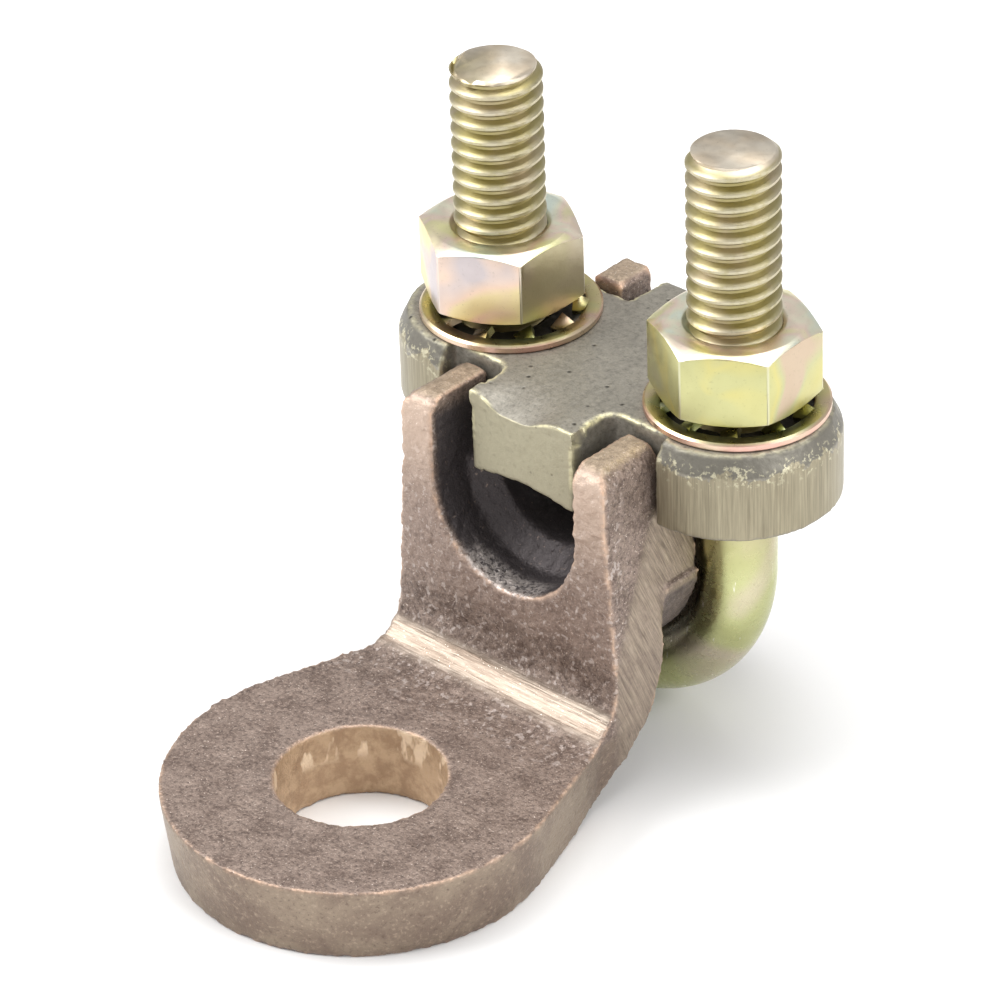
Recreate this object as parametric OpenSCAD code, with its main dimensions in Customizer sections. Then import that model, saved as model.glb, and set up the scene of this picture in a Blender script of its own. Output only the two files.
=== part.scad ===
// U-bolt clamp with a one-hole lug palm, for bonding a round conductor to a flat bar.
// Millimetres, +Z up. The origin is the centre of the palm's bolt hole on the palm's
// underside. +X runs from the left stud to the right one, and +Y runs along the
// conductor, from the palm to the studs.

/* [Palm] */
// Radius of the palm's round end, at its top face
palm_r = 16.8; // [15:0.1:20]
// Thickness of the palm
palm_t = 6.9; // [5:0.1:8]
// How far the palm's rim draws in between its top edge and its bottom edge
palm_draft = 0.8; // [0.2:0.1:1.2]
// Diameter of the palm's bolt hole
hole_d = 14.4; // [9:0.1:17]
// Width of the neck where the palm's tapered sides end
neck_w = 25; // [24:0.1:28]
// Distance from the bolt hole to the end of the tapered sides
taper_y = 16; // [14:0.1:17]

/* [Front wall] */
// Distance from the bolt hole to the front face of the wall
wall_y = 18; // [17.2:0.1:19]
// Thickness of the wall
wall_t = 6.3; // [5:0.1:6.5]
// Radius of the fillet between the palm and the wall
inner_r = 4.5; // [3:0.1:6]
// Radius of the bend under the wall
outer_r = 14.5; // [8:0.1:15]
// Width across the outsides of the front ears
ear_w = 22.8; // [21:0.1:23.2]
// Height of the front ears' tops
ear_top = 31.5; // [29:0.1:32]
// Depth of the front ears, front to back
ear_d = 7.1; // [6.5:0.1:7.4]
// Radius of the ears' worn upper edges
ear_round = 1.9; // [0.5:0.1:2.2]

/* [Saddle] */
// Height of the conductor's axis
rod_z = 24; // [23:0.1:24.5]
// Diameter of the conductor channel
rod_d = 11.6; // [8:0.1:12]
// Diameter of the channel's wide mouth in the front wall
mouth_d = 15.8; // [13:0.1:16.5]
// Height of the seats that carry the keeper
seat_z = 24.8; // [24.6:0.1:25.5]
// Depth of the front seats, behind the wall
seat_d = 4.6; // [3:0.1:8]
// Height of the front seats' underside
seat_under = 17.8; // [15:0.1:21]
// Radius of the front seats' lower back corner
seat_turn = 1.3; // [0.3:0.1:2]
// Radius of the fillet between the wall's back face and the front seats' underside
seat_fillet = 0.8; // [0.2:0.1:1.5]
// Thickness of the channel's floor between the front seats
floor_t = 1.5; // [1:0.1:3]
// Free height between the saddle's underside and the bend of the U-bolt
bend_gap = 0.9; // [0.8:0.1:2]
// How far the rear flange's lip stands out below the bend
rear_lip = 0.5; // [0:0.1:1.5]
// Thickness of the rear flange, behind the U-bolt
flange_t = 8.1; // [7.6:0.1:9]
// Distance between the rear ears' inner faces
rear_ear_gap = 13.2; // [12:0.1:13.4]
// Thickness of the rear ears, across
rear_ear_t = 3.1; // [2:0.1:3.2]
// Depth of the rear ears, front to back
rear_ear_d = 4; // [3:0.1:4.1]
// Height of the rear ears' tops
rear_ear_top = 33.3; // [31:0.1:33.6]
// Radius of the rear ears' worn upper edges
rear_ear_round = 0.5; // [0.2:0.1:1]

/* [U-bolt] */
// Distance between the two studs
stud_gap = 26; // [25.5:0.1:27]
// Diameter of the unthreaded rod
rod_blank_d = 7; // [6:0.1:7.2]
// Diameter over the thread
thread_d = 7.9; // [7:0.1:8]
// Height at which the thread starts
thread_z = 26; // [25:0.5:27]
// Height of the bend's centre
bend_z = 17.1; // [17:0.1:19]
// Height of the left stud's end, which is cut a little short
stud_top_left = 55.7; // [50:0.1:60]
// Height of the right stud's end
stud_top_right = 56.5; // [50:0.1:60]
// Chamfer on the stud ends
stud_chamfer = 0.8; // [0.2:0.1:1.2]

/* [Keeper] */
// Thickness of the keeper
keeper_t = 7.7; // [6:0.1:9]
// Radius of the keeper's two lobes
lobe_r = 9; // [8.5:0.1:9.6]
// Width of the front nose
nose_w = 11.4; // [8:0.1:12]
// How far the front nose's face sits behind the wall's front face
nose_set = 2.6; // [1:0.1:4]
// Width of the rear nose
rear_nose_w = 10.4; // [8:0.1:10.8]
// How far the rear nose stands out behind the rear flange
rear_nose_out = 1; // [0:0.1:3]
// Radius of the noses' and lobes' upper edges
nose_round = 1.6; // [0.5:0.1:2.5]
// How far the chamfer on the keeper's upper edge comes in
keeper_chamfer_in = 0.9; // [0.3:0.1:1.5]
// How far the same chamfer reaches down
keeper_chamfer_down = 1.8; // [0.5:0.1:3]
// Radius of the fillets where the front nose leaves the keeper's middle
nose_fillet = 1.5; // [0.5:0.1:1.6]
// Clearance between the keeper and the ears it slides past
ear_clear = 0.4; // [0.3:0.05:1]
// Diameter of the stud holes
stud_hole_d = 8.7; // [8.6:0.1:9.5]
// Depth of the hollow that runs under the keeper
hollow_depth = 0.5; // [0.1:0.1:1]

/* [Nuts and washers] */
// Width of the nuts across flats
nut_af = 12.7; // [12:0.1:13]
// Height of the nuts
nut_h = 6.75; // [5:0.05:7]
// Direction of one corner of the left nut
nut_turn_left = 25.4; // [0:0.1:60]
// Direction of one corner of the right nut
nut_turn_right = 32.4; // [0:0.1:60]
// Radial clearance between the thread and the nuts
nut_clear = 0.05; // [0.02:0.01:0.1]
// Diameter of the toothed washers
washer_d = 15.7; // [15:0.1:16]
// Thickness of the washers' rims
washer_t = 0.75; // [0.5:0.05:1]
// Diameter inside the rim, where the gaps between the teeth end
gap_d = 12.8; // [12.4:0.1:13.6]
// Diameter inside the teeth
tooth_bore_d = 10.5; // [9.4:0.1:10.6]
// Number of teeth
teeth = 10; // [8:1:12]
// Height that the twisted teeth stand above the rim
tooth_rise = 0.7; // [0.3:0.05:1]
// Clearance left between the teeth and the stud that the left washer has slipped towards
washer_clear = 0.35; // [0.3:0.05:0.6]
// How far the right washer has slipped back from its stud's axis
washer_drift = 0.3; // [0:0.1:0.3]

/* [Hidden] */
$fn = 96;
eps = 0.01;
far = 100;                                  // Longer than anything it cuts

stud_x = stud_gap / 2;
wall_back = wall_y + wall_t;
ear_back = wall_y + ear_d;
mouth_r = mouth_d / 2;
rod_r = rod_d / 2;
rod_gap = 0.3;                              // Free gap between the casting and the U-bolt
leg_front = wall_back + seat_d;             // Groove that the U-bolt lies in
leg_back = leg_front + rod_blank_d + 2 * rod_gap;
stud_y = (leg_front + leg_back) / 2;
back_y = leg_back + flange_t;
nose_y = wall_y + nose_set;
rear_nose_y = back_y + rear_nose_out;
neck_low_z = inner_r + outer_r / 2 + 1;     // Where the neck's sides start to draw in
neck_high_z = seat_z + 1.2;                 // Where the ears' parallel sides start
bend_in = stud_x - rod_blank_d / 2;         // Inner radius of the U-bolt's bend
web_r = bend_in - 0.6;                      // Half-disc that hangs inside the bend
web_z = bend_z + bend_gap - 0.6;            // Its centre
rear_in = rear_ear_gap / 2;                 // Inner faces of the rear ears
rear_root_z = web_z - 2;                    // Where the rear ears run into the flange
keeper_z = seat_z + 0.02;
keeper_top = keeper_z + keeper_t;
washer_z = keeper_top + 0.02;
washer_slip = (tooth_bore_d - thread_d) / 2 - washer_clear;
nut_z = washer_z + washer_t + tooth_rise + 0.02;
corner_r = nut_af / sqrt(3);                // Circle through the nut's corners

// The tapered side is the line that touches the palm's round end and passes the neck's corner.
taper_reach = norm([neck_w / 2, taper_y]);
taper_a = atan2(taper_y, neck_w / 2) - acos(palm_r / taper_reach);
draft_a = atan2(palm_draft, palm_t);

// Lays an outline drawn in X and Z along Y, between two distances from the bolt hole.
module along_y(from, to) {
    translate([0, to, 0])
        rotate([90, 0, 0])
            linear_extrude(to - from)
                children();
}

// Lays an outline drawn in Y and Z along X, centred on the casting.
module along_x(width) {
    rotate([90, 0, 90])
        translate([0, 0, -width / 2])
            linear_extrude(width)
                children();
}

// The square corner that lies outside a rounding circle, for cutting away.
// sx and sy say which way the corner points.
module corner_waste(r, sx, sy) {
    difference() {
        translate([sx > 0 ? 0 : -r - 1, sy > 0 ? 0 : -r - 1])
            square(r + 1);
        circle(r);
    }
}

// A fillet: the sliver between a circle and the square corner it fills, with a little overlap.
module corner_fill(r, sx, sy) {
    difference() {
        translate([sx > 0 ? 0 : -r - eps, sy > 0 ? 0 : -r - eps])
            square(r + eps);
        circle(r);
    }
}

// Side view of the palm, the bend, the wall with its ears, and the front seats.
module bend_outline() {
    difference() {
        union() {
            translate([-palm_r - 1, 0])
                square([palm_r + 1 + wall_back, palm_t]);
            translate([wall_y, 0])
                square([wall_t, seat_z]);
            translate([wall_y, seat_under])
                square([leg_front - wall_y, seat_z - seat_under]);
            translate([wall_y, seat_under])
                square([ear_d, ear_top - seat_under]);
            translate([wall_y - inner_r, palm_t + inner_r])
                corner_fill(inner_r, 1, -1);
            translate([wall_back + seat_fillet, seat_under - seat_fillet])
                corner_fill(seat_fillet, -1, 1);
        }
        translate([leg_front - seat_turn, seat_under + seat_turn])
            corner_waste(seat_turn, 1, -1);
        translate([wall_back - outer_r, outer_r])
            corner_waste(outer_r, 1, -1);
        translate([wall_y + ear_round, ear_top - ear_round])
            corner_waste(ear_round, -1, 1);
    }
}

// Front view of the neck, with the palm's draft below and a slight taper up to the ears.
module neck_outline() {
    low = neck_w / 2 - palm_draft;
    mid = neck_w / 2;
    top = ear_w / 2;
    difference() {
        polygon([
            [-low, 0], [low, 0], [mid, palm_t], [mid - 0.1, neck_low_z], [top, neck_high_z],
            [top, ear_top], [-top, ear_top], [-top, neck_high_z], [-mid + 0.1, neck_low_z],
            [-mid, palm_t]
        ]);
        for (side = [-1, 1])
            translate([side * (top - ear_round), ear_top - ear_round])
                corner_waste(ear_round, side, 1);
    }
}

// One drafted side of the palm's tapered part, as everything inside its plane.
module inside_taper() {
    reach = palm_r * cos(draft_a) - palm_t * sin(draft_a);
    rotate([0, 0, taper_a])
        rotate([0, draft_a, 0])
            translate([reach - far, -far / 2, -far / 2])
                cube(far);
}

module palm_taper() {
    intersection() {
        inside_taper();
        mirror([1, 0, 0])
            inside_taper();
        translate([-far / 2, palm_r * sin(taper_a), 0])
            cube([far, taper_y - palm_r * sin(taper_a), palm_t + inner_r]);
    }
}

// Palm, bend and front wall, which are one bent strip of even thickness.
module bent_strip() {
    intersection() {
        along_x(3 * palm_r)
            bend_outline();
        union() {
            cylinder(h = palm_t, r1 = palm_r - palm_draft, r2 = palm_r);
            palm_taper();
            along_y(taper_y - eps, back_y)
                neck_outline();
        }
    }
}

// The half-disc between the studs, which hangs inside the bend of the U-bolt.
module web() {
    along_y(leg_front - 1, back_y - 1) {
        intersection() {
            translate([0, web_z])
                circle(web_r);
            translate([-web_r, 0])
                square([2 * web_r, web_z]);
        }
        translate([-web_r, web_z - eps])
            square([2 * web_r, seat_z - web_z + eps]);
    }
}

// The rounded floor that carries the channel from the wall to the web.
module channel_floor() {
    along_y(wall_back - 1, leg_front)
        intersection() {
            translate([0, rod_z])
                circle(rod_r + floor_t);
            translate([-rod_r - floor_t, 0])
                square([2 * (rod_r + floor_t), rod_z]);
        }
}

// The flange behind the U-bolt, with its pair of ears.
module rear_flange() {
    lip_r = web_r + rear_lip;
    along_y(leg_back, back_y) {
        intersection() {
            translate([0, web_z])
                circle(lip_r);
            translate([-lip_r, 0])
                square([2 * lip_r, web_z]);
        }
        translate([-web_r, web_z - eps])
            square([2 * web_r, seat_z - web_z + eps]);
    }
    intersection() {
        along_x(2 * (rear_in + rear_ear_t))
            rear_ear_side();
        along_y(leg_back, back_y)
            for (side = [-1, 1])
                translate([side * (rear_in + rear_ear_t / 2), 0])
                    rear_ear_front();
    }
}

// Side view of the rear ears, with their front upper edge rounded.
module rear_ear_side() {
    difference() {
        translate([back_y - rear_ear_d, rear_root_z])
            square([rear_ear_d, rear_ear_top - rear_root_z]);
        translate([back_y - rear_ear_d + rear_ear_round, rear_ear_top - rear_ear_round])
            corner_waste(rear_ear_round, -1, 1);
    }
}

// Front view of one rear ear about its own centre line, with both upper edges rounded.
module rear_ear_front() {
    difference() {
        translate([-rear_ear_t / 2, rear_root_z])
            square([rear_ear_t, rear_ear_top - rear_root_z]);
        for (side = [-1, 1])
            translate([side * (rear_ear_t / 2 - rear_ear_round), rear_ear_top - rear_ear_round])
                corner_waste(rear_ear_round, side, 1);
    }
}

// The channel: a round-bottomed slot of the conductor's size, flared into the wide mouth.
module channel() {
    flare = mouth_r - rod_r;
    flare_y = wall_back - flare;
    along_y(wall_y - 2, back_y + 2) {
        translate([0, rod_z])
            circle(rod_r);
        translate([-rod_r, rod_z])
            square([2 * rod_r, far]);
    }
    along_y(wall_y - 2, flare_y)
        translate([0, rod_z])
            circle(mouth_r);
    along_y(wall_y - 2, ear_back + 1)
        translate([-mouth_r, rod_z])
            square([2 * mouth_r, far]);
    translate([0, flare_y - eps, rod_z])
        rotate([-90, 0, 0])
            cylinder(h = flare, r1 = mouth_r, r2 = rod_r);
}

module lug_body() {
    color("#8f7262")
        difference() {
            union() {
                bent_strip();
                web();
                channel_floor();
                rear_flange();
            }
            channel();
            translate([0, 0, -1])
                cylinder(h = palm_t + 2, d = hole_d);
        }
}

// One threaded stud down to the plain rod, with a chamfered end.
module stud(x, top) {
    translate([x, stud_y, bend_z - eps])
        cylinder(h = thread_z - bend_z, d = rod_blank_d);
    translate([x, stud_y, thread_z - 0.5])
        cylinder(h = 0.5, d1 = rod_blank_d, d2 = thread_d);
    translate([x, stud_y, thread_z - eps])
        cylinder(h = top - stud_chamfer - thread_z + eps, d = thread_d);
    translate([x, stud_y, top - stud_chamfer - eps])
        cylinder(h = stud_chamfer + eps, d1 = thread_d, d2 = thread_d - 2 * stud_chamfer);
}

module u_bolt() {
    color("#c2bf7c") {
        stud(-stud_x, stud_top_left);
        stud(stud_x, stud_top_right);
        translate([0, stud_y, bend_z])
            rotate([90, 0, 0])
                rotate([0, 0, 180])
                    rotate_extrude(angle = 180)
                        translate([stud_x, 0])
                            circle(d = rod_blank_d);
    }
}

// Side view of the noses, with rounded upper edges.
module nose_outline() {
    difference() {
        translate([nose_y, keeper_z])
            square([rear_nose_y - nose_y, keeper_t]);
        translate([nose_y + nose_round, keeper_top - nose_round])
            corner_waste(nose_round, -1, 1);
        translate([rear_nose_y - nose_round, keeper_top - nose_round])
            corner_waste(nose_round, 1, 1);
    }
}

// Side view of the keeper's middle, between the lobes.
module middle_outline() {
    low_y = stud_y - lobe_r;
    high_y = stud_y + lobe_r;
    edge_z = keeper_top - keeper_chamfer_down;
    polygon([
        [low_y, keeper_z], [high_y, keeper_z], [high_y, edge_z],
        [high_y - keeper_chamfer_in, keeper_top], [low_y + keeper_chamfer_in, keeper_top],
        [low_y, edge_z]
    ]);
}

module keeper_blank() {
    wide = keeper_t - keeper_chamfer_down;
    for (side = [-1, 1])
        translate([side * stud_x, stud_y, keeper_z]) {
            cylinder(h = wide, r = lobe_r);
            translate([0, 0, wide - eps])
                cylinder(h = keeper_chamfer_down + eps, r1 = lobe_r, r2 = lobe_r - keeper_chamfer_in);
        }
    along_x(2 * stud_x)
        middle_outline();
    intersection() {
        along_x(max(nose_w, rear_nose_w))
            nose_outline();
        union() {
            translate([-nose_w / 2, nose_y, 0])
                cube([nose_w, stud_y - nose_y, far]);
            translate([-rear_nose_w / 2, stud_y - eps, 0])
                cube([rear_nose_w, rear_nose_y - stud_y + 1, far]);
        }
    }
}

// The notches that let the front and rear ears through.
module ear_notches() {
    ear_out = ear_w / 2 + ear_clear + 0.2;
    rear_out = rear_in + rear_ear_t + ear_clear;
    for (side = [-1, 1]) {
        notch_w = ear_out - nose_w / 2;
        notch_y = ear_back + ear_clear;
        difference() {
            translate([side * (nose_w + notch_w) / 2, notch_y - far / 2, keeper_z])
                cube([notch_w, far, far], center = true);
            translate([side * (nose_w / 2 + nose_fillet), notch_y - nose_fillet, keeper_z - far / 2])
                linear_extrude(far)
                    corner_fill(nose_fillet, -side, 1);
        }
        rear_mid = (rear_out + rear_nose_w / 2) / 2;
        translate([side * rear_mid, back_y - rear_ear_d - ear_clear + far / 2, keeper_z])
            cube([rear_out - rear_nose_w / 2, far, far], center = true);
    }
}

module keeper() {
    hollow_r = (pow(nose_w / 2 - 1, 2) + pow(hollow_depth, 2)) / (2 * hollow_depth);
    color("#8c8a72")
        difference() {
            keeper_blank();
            ear_notches();
            for (side = [-1, 1])
                translate([side * stud_x, stud_y, keeper_z - 1])
                    cylinder(h = keeper_t + 2, d = stud_hole_d);
            translate([0, 0, keeper_z + hollow_depth - hollow_r])
                rotate([-90, 0, 0])
                    cylinder(h = far, r = hollow_r, $fn = 200);
        }
}

// One tooth, twisted about its own centre line so that its high edge meets the nut.
module tooth() {
    width = 0.62 * 360 / teeth * PI / 180 * (gap_d + tooth_bore_d) / 4;
    twist = asin(tooth_rise / width);
    len = (gap_d - tooth_bore_d) / 2 + 0.5;
    translate([tooth_bore_d / 2, 0, washer_t / 2 + tooth_rise / 2])
        rotate([twist, 0, 0])
            translate([0, -width / 2, -washer_t / 2])
                cube([len, width, washer_t * 0.9]);
}

module toothed_washer() {
    difference() {
        cylinder(h = washer_t, d = washer_d);
        translate([0, 0, -1])
            cylinder(h = washer_t + 2, d = gap_d);
    }
    intersection() {
        for (i = [0:teeth - 1])
            rotate([0, 0, i * 360 / teeth])
                tooth();
        cylinder(h = washer_t + tooth_rise, d = washer_d - 1);
    }
}

module washer_left() {
    color("#cdbf78")
        translate([washer_slip - stud_x, stud_y, washer_z])
            toothed_washer();
}

module washer_right() {
    color("#cdbf78")
        translate([stud_x, stud_y + washer_drift, washer_z])
            rotate([0, 0, 17])
                toothed_washer();
}

// A hex nut with its corners chamfered above and below, and a countersunk bore.
module hex_nut() {
    face_r = nut_af / 2 - 0.45;             // Circle where each chamfer starts
    reach = 2;                              // Past the corners
    rise = reach * tan(24);
    bore_r = thread_d / 2 + nut_clear;
    sink = 0.5;
    difference() {
        intersection() {
            cylinder(h = nut_h, r = corner_r, $fn = 6);
            rotate_extrude()
                polygon([
                    [0, 0], [face_r, 0], [face_r + reach, rise],
                    [face_r + reach, nut_h - rise], [face_r, nut_h], [0, nut_h]
                ]);
        }
        rotate_extrude()
            polygon([
                [0, -eps], [bore_r + sink + eps, -eps], [bore_r, sink],
                [bore_r, nut_h - sink], [bore_r + sink + eps, nut_h + eps], [0, nut_h + eps]
            ]);
    }
}

module nut_left() {
    color("#d8d6c4")
        translate([-stud_x, stud_y, nut_z])
            rotate([0, 0, nut_turn_left])
                hex_nut();
}

module nut_right() {
    color("#d8d6c4")
        translate([stud_x, stud_y, nut_z])
            rotate([0, 0, nut_turn_right])
                hex_nut();
}

lug_body();
u_bolt();
keeper();
washer_left();
washer_right();
nut_left();
nut_right();
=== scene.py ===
import math

import bmesh
import bpy
import numpy as np
from mathutils import Matrix, Vector


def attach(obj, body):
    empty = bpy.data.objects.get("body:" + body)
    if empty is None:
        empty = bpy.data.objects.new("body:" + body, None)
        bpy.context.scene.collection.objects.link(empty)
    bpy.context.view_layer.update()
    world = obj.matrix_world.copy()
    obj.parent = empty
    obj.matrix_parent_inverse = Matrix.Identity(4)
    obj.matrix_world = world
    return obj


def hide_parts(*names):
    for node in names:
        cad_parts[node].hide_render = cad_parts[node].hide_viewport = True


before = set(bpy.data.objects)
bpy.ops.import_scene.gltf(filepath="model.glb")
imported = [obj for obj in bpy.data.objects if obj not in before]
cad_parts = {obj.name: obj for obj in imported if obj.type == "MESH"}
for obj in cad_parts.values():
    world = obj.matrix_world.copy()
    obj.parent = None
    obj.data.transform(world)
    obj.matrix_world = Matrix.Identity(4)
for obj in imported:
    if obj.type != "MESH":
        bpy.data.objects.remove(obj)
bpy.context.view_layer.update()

MM = 0.001


# ----------------------------------------------------------------------- sizes


def points_of(mesh):
    co = np.empty(len(mesh.vertices) * 3)
    mesh.vertices.foreach_get("co", co)
    return co.reshape(-1, 3) / MM


def solid_span(node, side=0):
    """Lowest and highest corner of a solid, in mm, or of its part on one side of x = 0."""
    points = points_of(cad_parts[node].data)
    points = points[points[:, 0] * side >= 0]
    return [round(float(v), 2) for v in (*points.min(axis=0), *points.max(axis=0))]


# Read from the solids, in millimetres.
_, rod_front, rod_low, rod_right, rod_back, _ = solid_span("u_bolt")
_, NOSE_Y, KEEPER_Z, _, _, KEEPER_TOP = solid_span("keeper")
BACK_Y = solid_span("lug_body")[4]
WASHER_Z = solid_span("washer_left")[2]
_, _, NUT_Z, _, _, nut_top = solid_span("nut_left")
THREAD_D = round(rod_back - rod_front, 2)
STUD_X = round(rod_right - THREAD_D / 2, 2)
STUD_Y = round((rod_front + rod_back) / 2, 2)
STUD_TOPS = {side: solid_span("u_bolt", side)[5] for side in (-1, 1)}
NUT_H = round(nut_top - NUT_Z, 2)

# U-bolt
ROD_D = 7.0
PITCH = 25.4 / 18
THREAD_DEPTH = 0.66
THREAD_START = 27.0
BEND_Z = round(rod_low + STUD_X + ROD_D / 2, 2)
LEG_LAP = 0.4

# Lug
PALM_T = 6.9
WALL_Y = 18.0
FILLET_R = 4.5
ROD_Z = 24.0
EAR_TOP = 31.5
MOUTH_R = 7.9
DISC_R = 12.6
DISC_Z = 20.25
DISC_TOP = 18.2
DISC_FRONT = 24.5
DISC_BACK = 28.8

# Keeper
NOSE_HALF = 5.7
NOSE_ROUND = 1.6
NOSE_DIP = 1.25
NOSE_BASIN = 5.0
GROUND_TOP = KEEPER_TOP - 1.75

# Washers and nuts
WASHER_T = 0.75
RING_IN, RING_OUT = 6.4, 7.85
TEETH = 10
TOOTH_L, TOOTH_W, TOOTH_T = 1.5, 1.4, 0.6
TOOTH_R = 6.05
TOOTH_RISE = 0.7
TOOTH_TWIST = 26
WASHER_SLIPS = {-1: (0.95, 0.0), 1: (0.0, 0.3)}
WASHER_TURNS = {-1: 0, 1: 17}
NUT_AF = 12.7
NUT_CORNER_R = NUT_AF / math.sqrt(3)
NUT_TURNS = {-1: 25.4, 1: 32.4}


# ---------------------------------------------------------------- small tools


def pick_nothing():
    if bpy.context.object and bpy.context.object.mode != "OBJECT":
        bpy.ops.object.mode_set(mode="OBJECT")
    bpy.ops.object.select_all(action="DESELECT")


def work_on(obj):
    pick_nothing()
    obj.select_set(True)
    bpy.context.view_layer.objects.active = obj


def name_it(name):
    obj = bpy.context.object
    obj.name = name
    obj.data.name = name
    return obj


def add_modifier(obj, kind, **settings):
    mod = obj.modifiers.new(kind.lower(), kind)
    for key, value in settings.items():
        setattr(mod, key, value)
    return mod


def finish_modifiers(obj):
    work_on(obj)
    for mod in list(obj.modifiers):
        bpy.ops.object.modifier_apply(modifier=mod.name)


def settle(obj):
    """Puts the object's place into its mesh."""
    work_on(obj)
    bpy.ops.object.transform_apply(location=True, rotation=True, scale=True)


def smooth_by_angle(obj, degrees=35):
    work_on(obj)
    bpy.ops.object.shade_smooth_by_angle(angle=math.radians(degrees))


def edit_all(obj):
    work_on(obj)
    bpy.ops.object.mode_set(mode="EDIT")
    bpy.ops.mesh.select_all(action="SELECT")


def edit_done():
    bpy.ops.object.mode_set(mode="OBJECT")


def cut_plane(point, normal, **settings):
    """Cuts the whole mesh in edit mode along a plane through a point given in mm."""
    bpy.ops.mesh.select_all(action="SELECT")
    bpy.ops.mesh.bisect(plane_co=tuple(v * MM for v in point), plane_no=normal,
                        threshold=1e-7, **settings)


def join_into(main, pieces):
    work_on(main)
    for piece in pieces:
        piece.select_set(True)
    bpy.ops.object.join()


def select_where(obj, kind, test):
    """Selects the vertices, edges or faces whose centre and normal pass the test."""
    bpy.ops.mesh.select_mode(type=kind)
    bpy.ops.mesh.select_all(action="DESELECT")
    bm = bmesh.from_edit_mesh(obj.data)
    bm.normal_update()
    items = {"VERT": bm.verts, "EDGE": bm.edges, "FACE": bm.faces}[kind]
    for item in items:
        if kind == "VERT":
            hit = test(item.co / MM, item.normal)
        elif kind == "EDGE":
            a, b = (v.co / MM for v in item.verts)
            hit = test((a + b) / 2, (b - a).normalized())
        else:
            hit = test(item.calc_center_median() / MM, item.normal)
        if hit:
            item.select_set(True)
    bm.select_flush_mode()
    bmesh.update_edit_mesh(obj.data)


def clean_shell(obj, reach=0.001):
    edit_all(obj)
    bpy.ops.mesh.remove_doubles(threshold=reach * MM)
    bpy.ops.mesh.normals_make_consistent(inside=False)
    edit_done()


def normals_of(mesh):
    no = np.empty(len(mesh.vertices) * 3)
    mesh.vertex_normals.foreach_get("vector", no)
    return no.reshape(-1, 3)


def ramp(value, low, high):
    """0 below low, 1 above high and smooth between. It runs backwards if high is below low."""
    t = np.clip((value - low) / (high - low), 0, 1)
    return t * t * (3 - 2 * t)


def store(mesh, name, values, domain="POINT"):
    layer = mesh.attributes.new(name, "FLOAT", domain)
    layer.data.foreach_set("value", np.asarray(values, dtype=np.float32))


def group_weights(obj, name, values, steps=24):
    """A vertex group with the given weights, set in a few even steps."""
    group = obj.vertex_groups.new(name=name)
    level = np.round(np.clip(values, 0, 1) * steps).astype(int)
    for k in range(1, steps + 1):
        ids = np.nonzero(level == k)[0]
        if len(ids):
            group.add(ids.tolist(), k / steps, "REPLACE")
    return group.name


def curvature(mesh, blur=2):
    """How convex the surface is at each vertex: the mean rise above its neighbours, in mm."""
    pts, nor = points_of(mesh), normals_of(mesh)
    edges = np.empty(len(mesh.edges) * 2, dtype=np.int64)
    mesh.edges.foreach_get("vertices", edges)
    a, b = edges.reshape(-1, 2).T
    count = np.bincount(a, minlength=len(pts)) + np.bincount(b, minlength=len(pts))
    count = np.maximum(count, 1)

    def spread(values):
        total = np.bincount(a, weights=values[b], minlength=len(pts))
        total += np.bincount(b, weights=values[a], minlength=len(pts))
        return total / count

    middle = np.stack([spread(pts[:, i]) for i in range(3)], axis=1)
    rise = ((pts - middle) * nor).sum(axis=1)
    for _ in range(blur):
        rise = (rise + spread(rise)) / 2
    return rise


# ------------------------------------------------------------------ materials


def new_group(name, inputs, outputs):
    group = bpy.data.node_groups.new(name, "ShaderNodeTree")
    for label, kind, value in inputs:
        socket = group.interface.new_socket(label, in_out="INPUT", socket_type=kind)
        if value is not None:
            socket.default_value = value
    for label, kind in outputs:
        group.interface.new_socket(label, in_out="OUTPUT", socket_type=kind)
    return group, group.nodes.new("NodeGroupInput"), group.nodes.new("NodeGroupOutput")


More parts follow.
